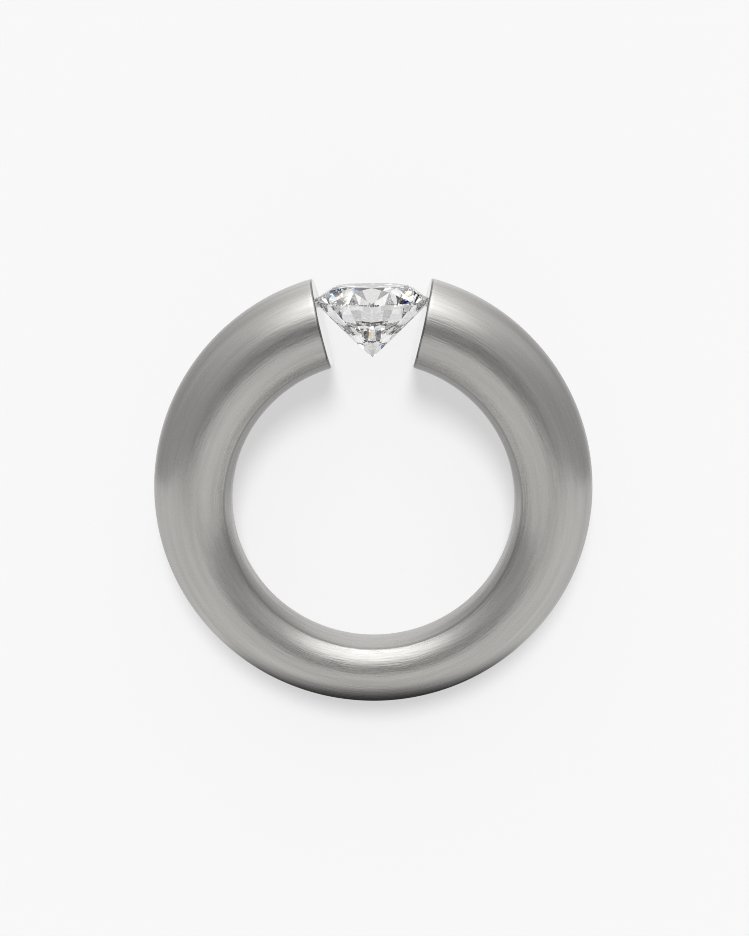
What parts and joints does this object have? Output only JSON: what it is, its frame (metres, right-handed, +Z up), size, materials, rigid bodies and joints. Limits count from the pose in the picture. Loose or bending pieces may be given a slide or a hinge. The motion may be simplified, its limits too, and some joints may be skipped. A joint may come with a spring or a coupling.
{
  "type": "tension set ring",
  "caption": "Open round finger ring whose two ends clamp a round brilliant cut stone by its edge, stored lying on its side.",
  "frame": {"origin": "centre of the finger hole, midway through the band's width", "axes": "+Z up from the table that the ring lies on, +X to the right and +Y towards the stone; the finger axis leans 3.17 degrees back from +Z, because the band is wider at the stone"},
  "size_m": [0.0266, 0.026, 0.007],
  "materials": {
    "satin_metal": "satin, brushed round the ring, with polished end faces",
    "clear_stone": "polished facets"
  },
  "bodies": {
    "root": {"band": "satin_metal", "stone": "clear_stone"}
  },
  "joints": []
}
